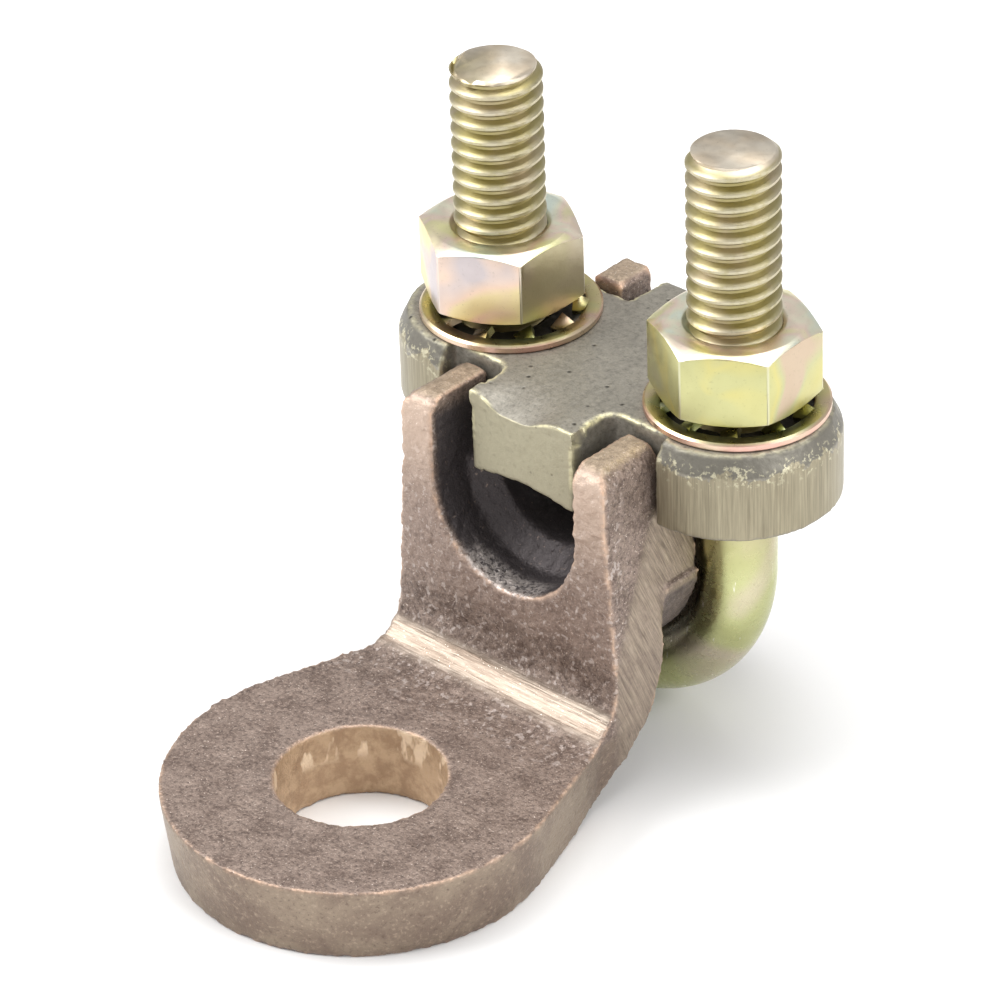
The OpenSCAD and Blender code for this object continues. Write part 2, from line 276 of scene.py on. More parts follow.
class Wiring:
    """Adds nodes to one tree, each with its settings and its inputs."""

    def __init__(self, tree):
        self.tree = tree

    def node(self, kind, inputs=None, **settings):
        node = self.tree.nodes.new(kind)
        for key, value in settings.items():
            setattr(node, key, value)
        for key, value in (inputs or {}).items():
            self.set(node.inputs[key], value)
        return node

    def set(self, socket, value):
        if isinstance(value, bpy.types.NodeSocket):
            self.tree.links.new(value, socket)
        else:
            socket.default_value = value

    def noise(self, vector, scale, detail=2.0, roughness=0.5, distortion=0.0):
        return self.node(
            "ShaderNodeTexNoise",
            {"Vector": vector, "Scale": scale, "Detail": detail, "Roughness": roughness,
             "Distortion": distortion},
        ).outputs["Fac"]

    def math(self, operation, a, b=0.0, clamp=False):
        node = self.node("ShaderNodeMath", operation=operation, use_clamp=clamp)
        self.set(node.inputs[0], a)
        self.set(node.inputs[1], b)
        return node.outputs[0]

    def times(self, a, b, clamp=False):
        return self.math("MULTIPLY", a, b, clamp)

    def span(self, value, low, high, to_low=0.0, to_high=1.0):
        return self.node(
            "ShaderNodeMapRange",
            {"Value": value, "From Min": low, "From Max": high,
             "To Min": to_low, "To Max": to_high},
        ).outputs["Result"]

    def patch(self, vector, noise, low, high, to_low=0.0, to_high=1.0):
        """Patches where a noise, given as (scale, detail, roughness), passes low to high."""
        return self.span(self.noise(vector, *noise), low, high, to_low, to_high)

    def mix(self, amount, a, b):
        node = self.node("ShaderNodeMix", data_type="RGBA")
        self.set(node.inputs["Factor"], amount)
        self.set(node.inputs[6], a)
        self.set(node.inputs[7], b)
        return node.outputs[2]

    def blend(self, amount, a, b):
        node = self.node("ShaderNodeMix", data_type="FLOAT")
        self.set(node.inputs[0], amount)
        self.set(node.inputs[2], a)
        self.set(node.inputs[3], b)
        return node.outputs[0]

    def mask(self, name):
        return self.node("ShaderNodeAttribute", attribute_name=name).outputs["Fac"]

    def stretch(self, vector, scale):
        return self.node("ShaderNodeMapping", {"Vector": vector, "Scale": scale}).outputs[0]


def rgb(r, g, b):
    return (r, g, b, 1.0)


def build_grain_group():
    """Fine cast grain: speckled colour between three tones, a height for the bumps, and a mask
    of fine points for painted glints.
    """
    group, start, end = new_group(
        "cast_grain",
        [
            ("Vector", "NodeSocketVector", None),
            ("Dark", "NodeSocketColor", rgb(0.1, 0.08, 0.07)),
            ("Mid", "NodeSocketColor", rgb(0.25, 0.2, 0.16)),
            ("Light", "NodeSocketColor", rgb(0.4, 0.33, 0.28)),
            ("Speckle", "NodeSocketFloat", 1.0),
        ],
        [("Color", "NodeSocketColor"), ("Height", "NodeSocketFloat"),
         ("Glint", "NodeSocketFloat")],
    )
    w = Wiring(group)
    v = start.outputs["Vector"]
    blotch = w.noise(v, 420.0, 3.0, 0.6)
    grains = w.noise(v, 2600.0, 2.0, 0.6)
    fine = w.noise(v, 6500.0, 2.0, 0.6)
    pits = w.node("ShaderNodeTexVoronoi", {"Vector": v, "Scale": 1500.0}).outputs["Distance"]
    tone = w.math("ADD", w.times(grains, 0.6), w.times(fine, 0.4))
    dark = w.times(w.span(tone, 0.5, 0.34), start.outputs["Speckle"])
    light = w.times(w.span(tone, 0.52, 0.66), start.outputs["Speckle"])
    base = w.mix(w.span(blotch, 0.35, 0.65), start.outputs["Mid"], start.outputs["Light"])
    base = w.mix(w.times(w.span(blotch, 0.2, 0.8), 0.35), base, start.outputs["Dark"])
    color = w.mix(dark, base, start.outputs["Dark"])
    color = w.mix(light, color, start.outputs["Light"])
    height = w.math("ADD", tone, w.times(w.span(pits, 0.0, 0.35), 0.35))
    w.set(end.inputs["Color"], color)
    w.set(end.inputs["Height"], height)
    w.set(end.inputs["Glint"], w.span(fine, 0.66, 0.74))
    return group


def build_scratch_group():
    """Fine scratches that run along the vector's own Z."""
    group, start, end = new_group(
        "scratches",
        [("Vector", "NodeSocketVector", None), ("Width", "NodeSocketFloat", 4200.0)],
        [("Mask", "NodeSocketFloat"), ("Height", "NodeSocketFloat")],
    )
    w = Wiring(group)
    v = w.stretch(start.outputs["Vector"], (1.0, 1.0, 0.035))
    a = w.noise(v, start.outputs["Width"], 3.0, 0.65)
    b = w.noise(v, w.times(start.outputs["Width"], 0.31), 2.0, 0.5)
    both = w.math("ADD", w.times(a, 0.65), w.times(b, 0.35))
    w.set(end.inputs["Mask"], w.span(both, 0.35, 0.65))
    w.set(end.inputs["Height"], a)
    return group


GRAIN = build_grain_group()
SCRATCH = build_scratch_group()


def new_material(name):
    mat = bpy.data.materials.new(name)
    mat.use_nodes = True
    mat.node_tree.nodes.clear()
    w = Wiring(mat.node_tree)
    out = w.node("ShaderNodeOutputMaterial")
    shader = w.node("ShaderNodeBsdfPrincipled")
    mat.node_tree.links.new(shader.outputs[0], out.inputs["Surface"])
    place = w.node("ShaderNodeTexCoord").outputs["Object"]
    return mat, w, shader, place


def use_group(w, group, **inputs):
    node = w.node("ShaderNodeGroup", node_tree=group)
    for key, value in inputs.items():
        w.set(node.inputs[key], value)
    return node.outputs


def bump(w, shader, height, strength, distance):
    node = w.node("ShaderNodeBump", {
        "Height": height, "Strength": strength, "Distance": distance})
    w.set(shader.inputs["Normal"], node.outputs[0])


def lug_bronze():
    """Sand-cast bronze, with each finish laid where the lug's masks put it."""
    mat, w, shader, place = new_material("lug_bronze")
    grain = use_group(w, GRAIN, Vector=place, Dark=rgb(0.075, 0.052, 0.044),
                      Mid=rgb(0.185, 0.134, 0.11), Light=rgb(0.37, 0.285, 0.238), Speckle=0.8)
    tilted = w.node("ShaderNodeMapping", {
        "Vector": place, "Rotation": (math.radians(-24), 0.0, 0.0)}).outputs[0]
    scratch = use_group(w, SCRATCH, Vector=tilted, Width=7000.0)
    fine = w.noise(place, 2400.0, 3.0, 0.7)
    patches = w.patch(place, (620.0, 3.0, 0.6), 0.38, 0.66)

    # The cast skin: lighter up the wall, speckled by the bend, rubbed on the ears.
    color = w.mix(w.times(w.mask("upper"), 0.3), grain["Color"], rgb(0.46, 0.345, 0.285))
    specks = w.times(w.patch(place, (1500.0, 2.0, 0.6), 0.58, 0.66), w.mask("coarse"))
    color = w.mix(w.times(specks, 0.7), color, rgb(0.56, 0.48, 0.44))
    color = w.mix(w.times(w.mask("handled"), 0.75), color, rgb(0.66, 0.505, 0.40))

    # The ground flanks, with slanting scratches.
    side = w.mix(w.times(scratch["Mask"], 0.95), rgb(0.17, 0.13, 0.10), rgb(0.46, 0.375, 0.29))
    side = w.mix(w.times(patches, 0.35), side, grain["Color"])
    color = w.mix(w.mask("side"), color, side)

    # The palm's rim: brown and brassy clouds with light and dark grains.
    clouds = w.patch(place, (190.0, 4.0, 0.6, 0.4), 0.4, 0.62)
    rim = w.mix(clouds, rgb(0.30, 0.235, 0.175), rgb(0.205, 0.15, 0.115))
    rim = w.mix(w.times(w.span(fine, 0.55, 0.75), 0.8), rim, rgb(0.45, 0.355, 0.27))
    rim = w.mix(w.times(w.span(fine, 0.42, 0.28), 0.8), rim, rgb(0.13, 0.09, 0.07))
    color = w.mix(w.mask("rim"), color, rim)

    # The drilled bore, with bright torn places near its top.
    bore = w.mix(w.patch(place, (620.0, 4.0, 0.65, 0.2), 0.4, 0.6),
                 rgb(0.40, 0.275, 0.175), rgb(0.56, 0.41, 0.27))
    torn = w.patch(w.stretch(place, (1.0, 1.0, 0.45)), (520.0, 3.0, 0.55), 0.55, 0.6)
    bore = w.mix(w.times(torn, w.mask("torn")), bore, rgb(0.84, 0.68, 0.50))
    color = w.mix(w.mask("bored"), color, bore)

    # The ears' ground tops and the copper-coloured worn edges.
    ground = w.mix(w.span(fine, 0.35, 0.65), rgb(0.28, 0.215, 0.155), rgb(0.46, 0.36, 0.265))
    color = w.mix(w.mask("ground"), color, ground)
    wear = w.times(w.mask("worn"), w.patch(place, (800.0, 3.0, 0.65), 0.36, 0.56), clamp=True)
    color = w.mix(wear, color, rgb(0.76, 0.52, 0.37))

    # The band in the fillet above the palm: rubbed and more metallic, with a painted highlight
    # lightening its colour across the fillet.
    highlight_band = w.mask("polished")
    streaks = w.noise(w.stretch(place, (0.05, 1.0, 1.0)), 2300.0, 4.0, 0.7)
    band = w.mix(w.span(streaks, 0.35, 0.62), rgb(0.225, 0.17, 0.13), rgb(0.43, 0.36, 0.295))
    color = w.mix(highlight_band, color, band)

    # Painted shade darkening the channel, the silvery lip of the fork, and painted glints on the
    # cast skin.
    channel_shade = w.times(w.mask("inside"), w.span(fine, 0.70, 0.62, 0.35, 0.97))
    color = w.mix(channel_shade, color, rgb(0.075, 0.065, 0.067))
    lip = w.times(w.mask("lip"), w.span(fine, 0.38, 0.56))
    color = w.mix(lip, color, rgb(0.66, 0.59, 0.55))
    # Painted glints: the fine points of the cast skin lightened almost to white.
    color = w.mix(w.times(grain["Glint"], w.mask("cast")), color, rgb(0.80, 0.70, 0.62))
    w.set(shader.inputs["Base Color"], color)

    metal = w.blend(w.mask("linished"), 0.55, 0.7)
    bright = w.math("MAXIMUM", w.times(highlight_band, 0.9), w.times(wear, 0.9))
    metal = w.math("MAXIMUM", metal, w.math("MAXIMUM", bright, lip))
    w.set(shader.inputs["Metallic"], metal)
    rough = w.blend(w.mask("linished"), 0.5, 0.44)
    rough = w.blend(highlight_band, rough, 0.42)
    rough = w.blend(w.times(grain["Glint"], 0.8), rough, 0.22)
    w.set(shader.inputs["Roughness"], rough)
    height = w.blend(w.mask("side"), grain["Height"], w.times(scratch["Height"], 0.4))
    height = w.blend(highlight_band, height, w.times(streaks, 0.8))
    bump(w, shader, height, 0.75, 0.00015)
    return mat


def keeper_bronze():
    """Duller cast bronze with ground lobes, laid where the keeper's masks put it."""
    mat, w, shader, place = new_material("keeper_bronze")
    grain = use_group(w, GRAIN, Vector=place, Dark=rgb(0.13, 0.12, 0.1),
                      Mid=rgb(0.255, 0.237, 0.2), Light=rgb(0.345, 0.32, 0.27), Speckle=0.6)
    scratch = use_group(w, SCRATCH, Vector=place, Width=6500.0)

    # The cast skin, brassier on the nose and darker on the chamfer.
    brass = w.mix(grain["Height"], rgb(0.27, 0.25, 0.175), rgb(0.40, 0.365, 0.255))
    cast = w.mix(w.mask("nose"), grain["Color"], brass)
    dull = w.mix(w.times(w.mask("chamfer"), 0.75), cast, rgb(0.15, 0.14, 0.115))

    # The ground lobes end below the chamfer in a ragged line with bright crumbs on it.
    ground = w.mix(w.times(scratch["Mask"], 0.85),
                   rgb(0.235, 0.205, 0.14), rgb(0.41, 0.365, 0.255))
    height_z = w.node("ShaderNodeSeparateXYZ", {"Vector": place}).outputs["Z"]
    above = w.times(w.math("SUBTRACT", height_z, GROUND_TOP * MM), 1.0 / MM)
    ragged = w.times(w.math("SUBTRACT", w.noise(place, 480.0, 4.0, 0.65), 0.5), 4.5)
    line = w.math("ADD", above, ragged)
    color = w.mix(w.times(w.mask("outer"), w.span(line, 0.08, -0.08)), dull, ground)
    crumbs = w.times(w.span(w.math("ABSOLUTE", line), 1.1, 0.2),
                     w.patch(place, (2300.0, 2.0, 0.6), 0.54, 0.62))
    color = w.mix(w.times(crumbs, w.mask("outer")), color, rgb(0.56, 0.52, 0.37))

    # Worn brassy edges, pits, and painted shade under the washers.
    wear = w.times(w.mask("worn"), w.patch(place, (1200.0, 3.0, 0.6), 0.34, 0.55), clamp=True)
    color = w.mix(wear, color, rgb(0.70, 0.65, 0.42))
    pits = w.node("ShaderNodeTexVoronoi", {
        "Vector": place, "Scale": 520.0, "Randomness": 1.0}).outputs["Distance"]
    rough_part = w.math("SUBTRACT", 1.0, w.mask("linished"))
    pits = w.times(w.span(pits, 0.13, 0.05), rough_part)
    color = w.mix(pits, color, rgb(0.05, 0.045, 0.035))
    color = w.mix(w.times(w.mask("under"), 0.92), color, rgb(0.022, 0.02, 0.016))
    w.set(shader.inputs["Base Color"], color)

    w.set(shader.inputs["Metallic"], w.blend(w.mask("linished"), 0.5, 0.7))
    w.set(shader.inputs["Roughness"], w.blend(w.mask("linished"), 0.46, 0.4))
    height = w.math("SUBTRACT", w.times(grain["Height"], 0.6), pits)
    height = w.blend(w.mask("linished"), height, w.times(scratch["Height"], 0.4))
    bump(w, shader, height, 0.55, 0.00012)
    return mat


def film(w, place, spread, tints, shift=0.0):
    """The thin passivation film's tint, drifting over the surface between the given tints."""
    moved = w.node("ShaderNodeMapping", {
        "Vector": place, "Location": (shift, shift * 0.37, -shift * 0.61)}).outputs[0]
    stops = w.node("ShaderNodeValToRGB", {"Fac": w.noise(moved, spread, 2.0, 0.45, 0.5)})
    first, last = stops.color_ramp.elements
    first.position, first.color = tints[0][0], rgb(*tints[0][1])
    last.position, last.color = tints[-1][0], rgb(*tints[-1][1])
    for at, tint in tints[1:-1]:
        stops.color_ramp.elements.new(at).color = rgb(*tint)
    return stops.outputs["Color"]


def plate_finish(w, shader, place, color, rough):
    """The bright zinc under the film, with dull specks and a faint unevenness."""
    specks = w.patch(place, (3500.0, 3.0, 0.7), 0.6, 0.75)
    w.set(shader.inputs["Base Color"], w.mix(w.times(specks, 0.3), color, rgb(0.22, 0.20, 0.12)))
    shader.inputs["Metallic"].default_value = 1.0
    uneven = w.patch(place, (900.0, 3.0, 0.6), 0.3, 0.7, -0.05, 0.07)
    w.set(shader.inputs["Roughness"], w.math("ADD", rough, uneven))
    bump(w, shader, w.noise(place, 2600.0, 3.0, 0.6), 0.14, 0.00006)


def rod_plate():
    """The U-bolt: a greenish film on the rod, a browner one on the thread."""
    mat, w, shader, place = new_material("yellow_zinc_rod")
    rod = film(w, place, 130.0, [(0.3, (0.42, 0.43, 0.19)), (0.5, (0.51, 0.52, 0.26)),
                                 (0.7, (0.58, 0.51, 0.38))])
    nicks = w.patch(w.stretch(place, (1.0, 1.0, 0.3)), (1900.0, 2.0, 0.5, 0.8), 0.70, 0.76)
    rod = w.mix(nicks, rod, rgb(0.85, 0.83, 0.74))

    # Painted shade and painted reflection of the dark casting on the inside of the bend, with
    # thin scratches.
    rod = w.mix(w.times(w.mask("inner"), 0.85), rod, rgb(0.085, 0.07, 0.05))
    lines = w.patch(w.stretch(place, (1.0, 0.12, 1.0)), (1500.0, 2.0, 0.5, 0.3), 0.69, 0.73)
    rod = w.mix(w.times(lines, w.mask("inner")), rod, rgb(0.6, 0.56, 0.45))

    # The thread, its bright crests and the studs' sawn ends.
    thread = film(w, place, 260.0, [(0.3, (0.36, 0.31, 0.13)), (0.5, (0.41, 0.355, 0.175)),
                                    (0.7, (0.46, 0.385, 0.26))])
    crest = w.times(w.mask("crest"), w.patch(place, (1500.0, 3.0, 0.6), 0.3, 0.55, 0.35, 1.0))
    thread = w.mix(w.times(crest, 0.6), thread, rgb(0.62, 0.58, 0.46))
    sawn = w.mix(w.patch(place, (330.0, 2.0, 0.4), 0.4, 0.62),
                 rgb(0.66, 0.56, 0.43), rgb(0.74, 0.67, 0.56))
    thread = w.mix(w.mask("tip"), thread, sawn)

    rough = w.blend(w.mask("thread"), 0.25, 0.4)
    plate_finish(w, shader, place, w.mix(w.mask("thread"), rod, thread), rough)
    return mat


def nut_plate(name, facets, shift):
    """A nut's film: its own tints on the flats, paler ones on top that are partly painted light,
    worn corners, and painted shade on the flats by the other nut.
    """
    mat, w, shader, place = new_material(name)
    side = film(w, place, 150.0, facets, shift)
    top = film(w, place, 210.0, [(0.36, (0.86, 0.82, 0.46)), (0.46, (0.90, 0.74, 0.62)),
                                 (0.55, (0.86, 0.84, 0.66)), (0.64, (0.76, 0.84, 0.74))], shift)
    # The top's paler tints are partly film and partly painted light.
    color = w.mix(w.mask("top"), side, top)
    # Painted shade on the flats facing the other nut.
    color = w.mix(w.times(w.mask("shade_from_other_nut"), 0.8), color, rgb(0.45, 0.41, 0.28))
    color = w.mix(w.times(w.mask("edge"), 0.3), color, rgb(0.80, 0.78, 0.72))
    plate_finish(w, shader, place, color, 0.34)
    return mat


def washer_plate():
    """The washers: yellow-green rings with a pink outer rim, and painted shade darkening the
    teeth under the nuts.
    """
    mat, w, shader, place = new_material("yellow_zinc_washer")
    ring = film(w, place, 200.0, [(0.35, (0.62, 0.44, 0.36)), (0.5, (0.60, 0.56, 0.24)),
                                  (0.65, (0.52, 0.58, 0.28))])
    rim = film(w, place, 260.0, [(0.35, (0.74, 0.46, 0.38)), (0.65, (0.72, 0.58, 0.42))])
    color = w.mix(w.mask("rim"), ring, rim)
    # Painted shade on the teeth under the nut's edge.
    color = w.mix(w.times(w.mask("teeth"), 0.55), color, rgb(0.12, 0.11, 0.05))
    plate_finish(w, shader, place, color, 0.3)
    return mat


# ------------------------------------------------------------------- castings


def casting_skin(node, name, grain_mm, extra=()):
    """A copy of the casting's solid, remade in even small faces so it can carry a cast skin."""
    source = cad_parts[node]
    skin = bpy.data.objects.new(name, source.data.copy())
    skin.data.name = name
    skin.data.materials.clear()
    bpy.context.scene.collection.objects.link(skin)
    clean_shell(skin)
    if extra:
        join_into(skin, extra)
    add_modifier(skin, "REMESH", mode="VOXEL", voxel_size=grain_mm * MM, adaptivity=0.0)
    finish_modifiers(skin)
    add_modifier(skin, "SMOOTH", factor=0.5, iterations=5)
    finish_modifiers(skin)
    return skin


def cast_surface(casting, masks, skin, layers):
    """Stores the masks, then roughens the skin with cloud layers.

    A layer is (name, size of its lumps in mm, depth, contrast, height in mm).
    """
    for name, values in masks.items():
        store(casting.data, name, values)
    group = group_weights(casting, "skin", skin)
    for name, size_mm, depth, contrast, height_mm in layers:
        clouds = bpy.data.textures.new(name, "CLOUDS")
        clouds.noise_scale = size_mm * MM
        clouds.noise_depth = depth
        clouds.contrast = contrast
        add_modifier(casting, "DISPLACE", texture=clouds, texture_coords="LOCAL",
                     strength=height_mm * MM, mid_level=0.5, vertex_group=group)
    finish_modifiers(casting)
    casting.vertex_groups.clear()
    smooth_by_angle(casting, 180)


def front_half_disc():
    """The half-round underside of the front seats, which shows inside the U-bolt's bend."""
    bpy.ops.mesh.primitive_cylinder_add(
        vertices=96, radius=DISC_R * MM, depth=(DISC_BACK - DISC_FRONT) * MM,
        location=(0, (DISC_FRONT + DISC_BACK) / 2 * MM, DISC_Z * MM),
        rotation=(math.radians(90), 0, 0))
    disc = name_it("front_half_disc")
    settle(disc)
    edit_all(disc)
    cut_plane((0, 0, DISC_TOP), (0, 0, 1), clear_outer=True, use_fill=True)
    edit_done()
    return disc


def lug_masks(mesh):
    """Where each finish lies on the lug, and how rough its skin is, from 0 to 1."""
    x, y, z = points_of(mesh).T
    nx, ny, nz = normals_of(mesh).T
    from_hole = np.hypot(x, y)

    # The palm's ground rim, and the flanks ground above a slanting line.
    rim = ramp(np.abs(nz), 0.55, 0.3) * ramp(z, PALM_T + 0.5, PALM_T - 0.5)
    rim *= ramp(from_hole, 8.5, 9.5) * ramp(y, 20, 17)
    line_y = WALL_Y + np.maximum(z - 13.0, 0) * 0.47
    side = ramp(np.abs(nx), 0.75, 0.95) * ramp(from_hole, 14.0, 15.0)
    side *= ramp(y - line_y, -0.5, 0.6) * ramp(z, 26.5, 24.5) * ramp(y, 33, 31)

    # The rim of the half-disc under the front seats isn't ground.
    under = ramp(np.hypot(x, z - DISC_Z), DISC_R - 0.7, DISC_R - 0.2) * ramp(z, 17.8, 17.2)
    under *= ramp(y, DISC_FRONT - 0.1, DISC_FRONT + 0.2)
    under *= ramp(y, DISC_BACK + 0.4, DISC_BACK + 0.1)
    side *= 1 - under
    linished = np.clip(np.maximum(rim, side), 0, 1)

    # The lip of the fork, the drilled bore and the band of painted highlight on a rubbed finish
    # in the bend's fillet.
    lip = ramp(z, 19.2, 17.2) * ramp(z, 14.5, 15.5) * ramp(np.abs(x + 0.8), 5.2, 2.6)
    lip *= ramp(nz, 0.35, 0.8) * ramp(y, 21.2, 19.4) * ramp(y, 17, 17.8)
    bored = ramp(from_hole, 7.55, 7.35) * ramp(np.abs(nz), 0.8, 0.5) * ramp(z, 8, 7.2)
    from_y, from_z = y - (WALL_Y - FILLET_R), (PALM_T + FILLET_R) - z
    arc = np.degrees(np.arctan2(from_y, from_z))
    polished = ramp(np.abs(np.hypot(from_y, from_z) - FILLET_R), 0.8, 0.4)
    polished *= ramp(arc, 12, 34) * ramp(arc, 66, 54) * ramp(np.abs(nx), 0.7, 0.4)

    # Painted shade in the channel behind the wall, up to the ears' tops, and more faintly on the
    # half-disc's rim.
    from_rod = np.where(z > ROD_Z, np.abs(x), np.hypot(x, z - ROD_Z))
    inside = ramp(from_rod, MOUTH_R + 0.4, MOUTH_R)
    inside *= ramp(y, WALL_Y + 0.15, WALL_Y + 1.0) * ramp(y, BACK_Y - 0.3, BACK_Y - 1.2)
    inside = np.maximum(inside, 0.6 * under)
    inside *= ramp(z, EAR_TOP - 0.6, EAR_TOP - 2.2)

    coarse = ramp(y, 8.5, 13.5) * ramp(y, 21, 19)
    smooth = np.maximum.reduce([linished, polished, bored])
    skin = np.clip(0.55 + 0.45 * np.maximum(coarse, lip) - 0.8 * smooth, 0.08, 1)
    return {
        "lip": lip,
        "upper": ramp(z, 12, 15) * ramp(y, 12, 14) * ramp(ny, -0.2, -0.6),
        "handled": ramp(z, 19, 30) * ramp(ny, -0.4, -0.8) * ramp(y, 24, 20),
        "inside": inside,
        "linished": linished,
        "rim": rim,
        "side": side,
        "torn": bored * ramp(z, 3.4, 4.6),
        "cast": np.clip(1 - linished - bored - inside, 0, 1),
        "bored": bored,
        "polished": polished,
        "ground": ramp(nz, 0.75, 0.95) * ramp(z, 30.5, 31.2),
        "worn": ramp(curvature(mesh), 0.012, 0.04),
        "coarse": coarse,
    }, skin


def make_lug():
    lug = casting_skin("lug_body", "lug_casting", 0.275, extra=[front_half_disc()])
    cast_surface(lug, *lug_masks(lug.data), [("sand_lumps", 1.5, 3, 1.0, 0.2),
                                             ("sand_grains", 0.55, 2, 1.6, 0.24)])
    lug.data.materials.append(lug_bronze())
    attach(lug, "lug")
    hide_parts("lug_body")
    return lug


def dish_nose(mesh):
    """Gives the front nose a crisp upper edge, high at its ends and dished between them."""
    x, y, z = points_of(mesh).T
    low_z, in_y = KEEPER_TOP - NOSE_ROUND, NOSE_Y + NOSE_ROUND
    across = np.clip((x + NOSE_HALF) / (2 * NOSE_HALF), 0, 1)
    dip = 0.08 + NOSE_DIP * ramp(across, 0.02, 0.32) * ramp(across, 0.86, 0.48)

    # The nose's round edge is drawn out to a corner: up its front, then back along its top.
    near = np.abs(x) < NOSE_HALF + 0.3
    part = (y < in_y) & (z > low_z) & near
    turn = np.degrees(np.arctan2(z - low_z, np.maximum(in_y - y, 1e-6)))
    front = np.clip(turn / 45, 0, 1)
    back = np.clip((turn - 45) / 45, 0, 1)
    new_y = NOSE_Y + back * NOSE_ROUND
    slope = (1 - np.clip((new_y - NOSE_Y) / NOSE_BASIN, 0, 1)) ** 2
    new_z = np.where(turn < 45, low_z + (KEEPER_TOP - dip - low_z) * front,
                     KEEPER_TOP - dip * slope)

    # The flat top behind it sinks to meet it.
    behind = ~part & (z > KEEPER_TOP - 0.3) & (y < NOSE_Y + NOSE_BASIN) & near
    sunk = z - dip * (1 - np.clip((y - NOSE_Y) / NOSE_BASIN, 0, 1)) ** 2
    y = np.where(part, new_y, y)
    z = np.where(part, new_z, np.where(behind, sunk, z))
    mesh.vertices.foreach_set("co", (np.stack([x, y, z], axis=1) * MM).ravel())
    mesh.update()


def keeper_masks(mesh):
    """Where each finish lies on the keeper, and how rough its skin is, from 0 to 1."""
    x, y, z = points_of(mesh).T
    nz = normals_of(mesh)[:, 2]
    bend = curvature(mesh)
    nose = ramp(np.abs(x), 6.0, 5.6) * ramp(y, 22, 21)
    from_stud = np.hypot(np.abs(x) - STUD_X, y - STUD_Y)
    outer = ramp(from_stud, 7.6, 8.1) * ramp(np.abs(x), 11, 12.5)
    linished = ramp(np.abs(nz), 0.5, 0.2) * outer
    raised = ramp(z, KEEPER_Z + 1.5, KEEPER_Z + 3)
    upper = ramp(z, KEEPER_Z + 2, KEEPER_Z + 4)
    skin = (0.35 + 0.65 * ramp(bend, 0.004, 0.02)) * upper - 0.3 * linished
    return {
        # Painted shade on the top beneath the washers.
        "under": ramp(from_stud, 7.0, 6.4),
        "outer": ramp(nz, 0.97, 0.9) * ramp(nz, -0.5, -0.2) * outer,
        "nose": nose * ramp(nz, 0.7, 0.4),
        "chamfer": ramp(nz, 0.93, 0.8) * ramp(nz, 0.2, 0.3) * (1 - nose),
        "linished": linished,
        "worn": ramp(bend, 0.005, 0.02) * raised * (1 - 0.7 * outer),
    }, np.clip(skin, 0.05, 1)


def make_keeper():
    keeper = casting_skin("keeper", "keeper_casting", 0.22)
    dish_nose(keeper.data)
    cast_surface(keeper, *keeper_masks(keeper.data), [("keeper_lumps", 1.3, 3, 1.0, 0.28),
                                                      ("keeper_grains", 0.5, 2, 1.4, 0.18)])
    keeper.data.materials.append(keeper_bronze())
    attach(keeper, "keeper")
    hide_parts("keeper")
    return keeper


# --------------------------------------------------------------------- U-bolt


def thread_radius(phase):
    """Radius of a rolled thread at a phase of one pitch, with a rounded crest and root."""
    away = abs(phase - 0.5) * 2
    rise = min(max((away - 0.16) / (0.80 - 0.16), 0), 1)
    rise = rise * rise * (3 - 2 * rise) * 0.35 + rise * 0.65
    return THREAD_D / 2 - THREAD_DEPTH * (1 - rise)


def shear_end(stud, top):
    """The ragged step that the shear left along the front of the stud's end."""
    out_x, out_y = -0.5, -0.87
    edge = 2.4
    edit_all(stud)
    for slope, depth in ((1.9, 2.35), (2.6, 2.75)):
        cut_plane((out_x * depth, out_y * depth, 0), (out_x, out_y, 0.1 * slope))
    bm = bmesh.from_edit_mesh(stud.data)
    for v in bm.verts:
        out = (out_x * v.co.x + out_y * v.co.y) / MM
        along = (out_x * v.co.y - out_y * v.co.x) / MM
        if v.co.z > (top - 0.3) * MM and out > edge:
            step = 0.42 + 0.07 * math.sin(along * 4.1)
            v.co.z -= step * min((out - edge) * 3, 1) * MM
    bmesh.update_edit_mesh(stud.data)
    edit_done()


